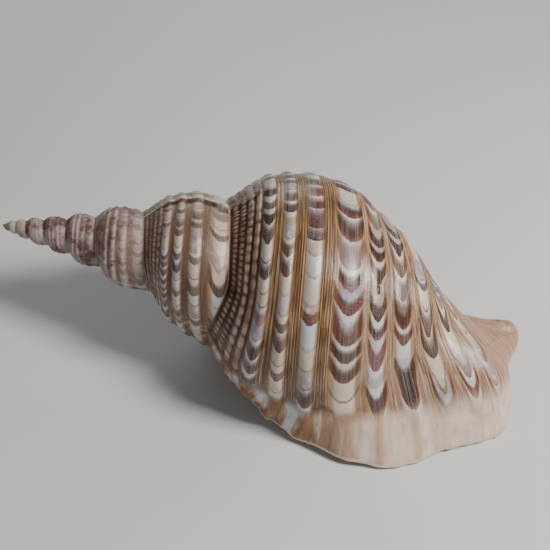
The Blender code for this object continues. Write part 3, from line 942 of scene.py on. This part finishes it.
def groove_colours(s, lift):
    """The fine threads between the cords, paler towards the canal, with painted shade in the low parts
    between the threads.
    """
    streak = s.grain(11.0, 1.7, 3.0, 0.65)
    upper = s.ramp(streak, [(0.3, CHOCOLATE), (0.42, OLIVE), (0.52, TAN), (0.6, CREAM), (0.75, BEIGE)])
    lower = s.ramp(streak, [(0.3, MAUVE), (0.42, TAN), (0.5, BEIGE), (0.58, CREAM), (0.75, PINK)])
    colour = s.mix(s.step(*GROOVES_PALER, s.place), upper, lower)
    shadow = s.step(0.5, 0.68, s.grain(34.0, 0.4, 2.0))
    colour = s.mix(s.product(shadow, 0.5), colour, MAUVE)
    # Painted shade: chocolate where the relief is low, between the threads, weaker towards the canal
    depth = s.math("MULTIPLY_ADD", s.step(*GROOVE_PAINTED_SHADE_FADES, s.place), -0.42, 0.75)
    return s.mix(s.product(s.step(0.24, 0.0, lift), depth), colour, CHOCOLATE)


def bead_colours(s, lift):
    """The brown band of beads under the suture, with painted shade between the beads and a painted
    highlight on their tops.
    """
    patch = s.grain(26.0, 0.12, 2.0)
    low = s.ramp(patch, [(0.3, CHOCOLATE), (0.6, BEAD_SHADE_UMBER), (0.75, BEAD_SHADE_HAZEL)])
    high = s.ramp(patch, [(0.3, BEAD_LIT_BROWN), (0.42, BEAD_LIT_TAN), (0.56, BEAD_LIT_PINK), (0.7, BEAD_HIGHLIGHT_PALE)])
    # Painted shade and highlight: dark browns where the relief is low, pale pinks on the beads' tops
    return s.mix(s.step(0.15, 0.75, lift), low, high)


def varix_colours(s, colour):
    """A pale rubbed ridge on each old lip, with a dark line after it."""
    after = s.attribute("after")
    rubbed = s.grain(30.0, 0.22, 3.0, 0.6)
    pale = s.product(s.step(-6.0, -1.5, after), s.step(1.0, -0.5, after))
    pale = s.product(pale, s.math("MULTIPLY_ADD", s.step(0.34, 0.56, rubbed), 0.65, 0.25))
    colour = s.mix(pale, colour, IVORY)
    below = s.product(s.step(0.0, 1.6, after), s.step(6.0, 2.6, after))
    return s.mix(s.product(below, s.math("MULTIPLY_ADD", rubbed, 0.6, 0.4)), colour, CHOCOLATE)


def outside_colours(s, lift):
    """The whorls: cords, threads, the bead band, the fan of lines at the canal, and the varices."""
    colour = s.mix(s.attribute("cord"), groove_colours(s, lift), cord_colours(s))
    colour = s.mix(s.step(*BEAD_BAND, s.place), colour, bead_colours(s, lift))
    lines = s.grain(9.0, 1.6, 3.0, 0.65)
    fan = s.ramp(lines, [(0.34, MAUVE), (0.42, TAN), (0.48, BEIGE), (0.58, PINK), (0.72, CREAM)])
    colour = s.mix(s.product(s.step(*FAN_ROWS, s.place), 0.75), colour, fan)
    colour = s.mix(s.product(s.step(*GREYER_TURNS, s.growth), 0.24), colour, OLD_GREY)
    return varix_colours(s, colour)


def flare_colours(s):
    """The smooth flare behind the lip's edge: brown and white patches, then cream towards the canal, made
    paler there as painted light.
    """
    upper = s.ramp(s.grain(16.0, 0.085, 4.0, 0.55),
                   [(0.35, WHITE), (0.43, BEIGE), (0.5, FLARE_BROWN), (0.6, TAN), (0.7, WHITE)])
    # Painted light: the pink and cream towards the canal are paler than the shell's own colour, for the
    # strong light on that part
    lower = s.ramp(s.grain(50.0, 0.16, 4.0, 0.6), [(0.3, PINK), (0.45, FLARE_LIT_PINK), (0.7, FLARE_LIT_CREAM)])
    band = s.step(0.48, 0.7, s.grain(5.0, 0.11, 1.0, seed=3.0))
    lower = s.mix(s.product(band, 0.5), lower, TAN)
    fine = s.step(0.52, 0.72, s.grain(90.0, 0.9, 4.0, 0.7))
    lower = s.mix(s.product(fine, 0.3), lower, TAN)
    colour = s.mix(s.step(*FLARE_PALER, s.place), upper, lower)
    stained = s.product(s.step(*STAINED_TURNS, s.growth), s.step(*STAINED_ROWS, s.place))
    colour = s.mix(s.product(stained, 0.65), colour, FOLD_STAIN)
    return s.mix(s.step(*LIP_EDGE_TURNS, s.growth), colour, IVORY)


def spire_colours(s, lift, position):
    """The chalky worn whorls near the apex."""
    blotch = s.noise(position, 70.0, 4.0, 0.6)
    fine = s.noise(position, 420.0, 3.0, 0.6)
    colour = s.ramp(blotch, [(0.32, PLUM), (0.44, MAUVE), (0.52, CHALK), (0.8, CHALK_PALE)])
    colour = s.mix(s.product(s.step(0.25, 0.0, lift), 0.45), colour, PLUM)
    colour = s.mix(s.product(s.step(0.5, 0.65, fine), 0.35), colour, CHALK_DUST)
    return s.mix(s.product(s.step(*TIP_TURNS, s.growth), 0.9), colour, TIP_CREAM)


def wall_colours(s, depth, cloud, tooth):
    """The inner side of the lip: ivory edge, dark blotches with white teeth, orange within."""
    deep = s.mix(s.step(0.35, 0.65, cloud), SALMON, IVORY)
    deep = s.mix(s.step(*ORANGE_WITHIN, depth), deep, s.mix(0.35, SALMON, ORANGE))
    edge = s.mix(s.step(0.4, 0.7, cloud), IVORY, PINK)
    turned = s.product(s.math("SUBTRACT", s.place, TOOTH_PAIRS[0]), 2.0 * np.pi / TOOTH_PERIOD)
    blotch = s.product(s.step(-0.1, 0.35, s.math("COSINE", turned)), s.step(*BLOTCH_FIRST_ROWS, s.place))
    blotch = s.product(blotch, s.step(*BLOTCH_LAST_ROWS, s.place))
    blotch = s.product(blotch, s.product(s.step(*BLOTCH_NEAR, depth), s.step(*BLOTCH_FAR, depth)))
    wall = s.mix(s.step(*LIP_INSIDE, depth), edge, deep)
    wall = s.mix(blotch, wall, s.mix(s.step(-0.5, 0.8, s.math("SINE", turned)), DARK, CHOCOLATE))
    return s.mix(s.step(0.25, 0.6, tooth), wall, IVORY)


def pillar_colours(s, depth, cloud, tooth):
    """The dark columella with its pale wrinkles."""
    column = s.product(s.step(*DARK_PILLAR_ROWS, s.place), s.step(*DARK_PILLAR_END, depth))
    dark = s.mix(s.step(0.35, 0.7, cloud), DARK, CHOCOLATE)
    side = s.mix(column, s.mix(0.4, SALMON, IVORY), dark)
    return s.mix(s.product(s.step(0.45, 0.8, tooth), 0.92), side, IVORY)


def inside_colours(s):
    """The aperture and the hollow behind it."""
    depth = s.product(s.growth, -TURN)
    cloud = s.grain(20.0, 0.06, 2.0)
    tooth = s.attribute("tooth")
    wall = wall_colours(s, depth, cloud, tooth)
    return s.mix(s.attribute("pillar"), wall, pillar_colours(s, depth, cloud, tooth))


def surface_bump(s, worn, position):
    """Growth lines, fine threads and pits, too small for the mesh."""
    lines = s.grain(700.0, 0.05, 3.0, 0.6)
    threads = s.grain(20.0, 2.4, 2.0)
    pits = s.noise(position, 700.0, 3.0, 0.6)
    height = s.math("ADD", s.product(lines, 0.35), s.product(threads, 0.4))
    height = s.math("ADD", height, s.product(pits, s.math("MULTIPLY_ADD", worn, 0.5, 0.15)))
    return s.put("ShaderNodeBump", {"Height": height, "Strength": 0.5, "Distance": 0.0006}).outputs[0]


def shell_material():
    material = bpy.data.materials.new("shell_surface")
    material.use_nodes = True
    surface = material.node_tree.nodes["Principled BSDF"]
    s = Shader(material.node_tree)
    lift = s.attribute("lift")
    fold = s.attribute("fold")
    worn = s.attribute("worn")
    position = s.put("ShaderNodeTexCoord", {}).outputs["Object"]
    colour = s.mix(fold, outside_colours(s, lift), flare_colours(s))
    colour = s.mix(s.product(worn, 0.85), colour, spire_colours(s, lift, position))
    colour = s.put("ShaderNodeGamma", {0: colour, 1: COLOUR_GAMMA}).outputs[0]
    dust = s.step(0.58, 0.74, s.noise(position, 900.0, 4.0, 0.7))
    colour = s.mix(s.product(dust, 0.35), colour, MAUVE)
    colour = s.mix(s.step(0.25, 0.75, s.attribute("inside")), colour, inside_colours(s))
    s.tree.links.new(colour, surface.inputs["Base Color"])
    rough = s.math("MULTIPLY_ADD", s.noise(position, 160.0, 3.0, 0.6), 0.22, 0.13)
    rough = s.math("MULTIPLY_ADD", worn, 0.32, rough)
    rough = s.math("MULTIPLY_ADD", fold, 0.16, rough)
    s.tree.links.new(rough, surface.inputs["Roughness"])
    surface.inputs["Specular IOR Level"].default_value = 0.5
    s.tree.links.new(surface_bump(s, worn, position), surface.inputs["Normal"])
    return material


def rest_pose():
    """From the coiling frame, in metres, to where the shell lies."""
    pitched = Matrix.Rotation(np.radians(REST_PITCH), 4, "Y")
    rolled = Matrix.Rotation(np.radians(REST_ROLL), 4, "X")
    return Matrix.Translation(SHELL_PLACE) @ pitched @ rolled


def build_shell():
    """The shell's mesh with its colours, where it lies."""
    mesh = ShellMesh()
    lip, inner_edge = add_outer_surface(mesh)
    add_hollow(mesh, lip, inner_edge)
    points = bent(np.array(mesh.points)) * MM
    data = bpy.data.meshes.new("triton_shell_surface")
    data.from_pydata(points.tolist(), [], mesh.faces)
    for name, values in describe(np.array(mesh.facts)).items():
        layer = data.attributes.new(name, "FLOAT", "POINT")
        layer.data.foreach_set("value", np.asarray(values, dtype=np.float32))
    solid = bmesh.new()
    solid.from_mesh(data)
    bmesh.ops.recalc_face_normals(solid, faces=solid.faces)
    solid.to_mesh(data)
    solid.free()
    data.materials.append(shell_material())
    data.shade_smooth()
    data.transform(rest_pose())
    shell = bpy.data.objects.new("triton_shell_surface", data)
    bpy.context.scene.collection.objects.link(shell)
    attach(shell, "root")
    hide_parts("triton_shell")
    return shell


def add_floor(shell):
    """A plain pale floor under the shell's lowest point."""
    low = min(vertex.co.z for vertex in shell.data.vertices)
    data = bpy.data.meshes.new("floor")
    corners = [(-FLOOR_REACH, -FLOOR_REACH, low), (FLOOR_REACH, -FLOOR_REACH, low),
               (FLOOR_REACH, FLOOR_REACH, low), (-FLOOR_REACH, FLOOR_REACH, low)]
    data.from_pydata(corners, [], [(0, 1, 2, 3)])
    material = bpy.data.materials.new("floor")
    material.use_nodes = True
    surface = material.node_tree.nodes["Principled BSDF"]
    surface.inputs["Base Color"].default_value = (0.72, 0.72, 0.71, 1.0)
    surface.inputs["Roughness"].default_value = 0.8
    data.materials.append(material)
    floor = bpy.data.objects.new("floor", data)
    bpy.context.scene.collection.objects.link(floor)


def add_light(name, place, size, power, colour=(1.0, 1.0, 1.0)):
    data = bpy.data.lights.new(name, "AREA")
    data.size = size
    data.energy = power
    data.color = colour
    light = bpy.data.objects.new(name, data)
    light.location = place
    light.rotation_euler = (Vector(LIGHT_TARGET) - Vector(place)).to_track_quat("-Z", "Y").to_euler()
    bpy.context.scene.collection.objects.link(light)


def add_lights():
    add_light("key", (0.85, -0.22, 0.95), 0.32, 19.0, (1.0, 0.97, 0.93))
    add_light("fill", (-1.1, -1.2, 0.9), 1.2, 2.0, (0.93, 0.96, 1.0))
    add_light("rim", (-0.5, 1.2, 0.8), 0.9, 5.0)
    world = bpy.data.worlds.new("studio")
    world.use_nodes = True
    world.node_tree.nodes["Background"].inputs[0].default_value = (0.82, 0.86, 0.92, 1.0)
    world.node_tree.nodes["Background"].inputs[1].default_value = 0.15
    bpy.context.scene.world = world


def add_camera():
    """The photograph's camera, given round the coiling axis, carried to where the shell lies."""
    azimuth, elevation, roll = np.radians(CAMERA_ANGLES)
    level = np.cos(elevation)
    forward = Vector((-np.sin(azimuth) * level, np.cos(azimuth) * level, -np.sin(elevation)))
    right = forward.cross(Vector((0.0, 0.0, 1.0))).normalized()
    up = right.cross(forward)
    turned_right = right * np.cos(roll) + up * np.sin(roll)
    turned_up = up * np.cos(roll) - right * np.sin(roll)
    place = (Vector(CAMERA_TARGET) - forward * CAMERA_DISTANCE) * MM
    axes = Matrix((turned_right, turned_up, -forward)).transposed().to_4x4()
    data = bpy.data.cameras.new("camera")
    data.sensor_width = SENSOR_WIDTH
    data.lens = CAMERA_FOCUS_PIXELS * SENSOR_WIDTH / PICTURE_PIXELS
    data.clip_start = 0.01
    camera = bpy.data.objects.new("camera", data)
    camera.matrix_world = rest_pose() @ Matrix.Translation(place) @ axes
    bpy.context.scene.collection.objects.link(camera)
    bpy.context.scene.camera = camera


add_floor(build_shell())
add_lights()
add_camera()
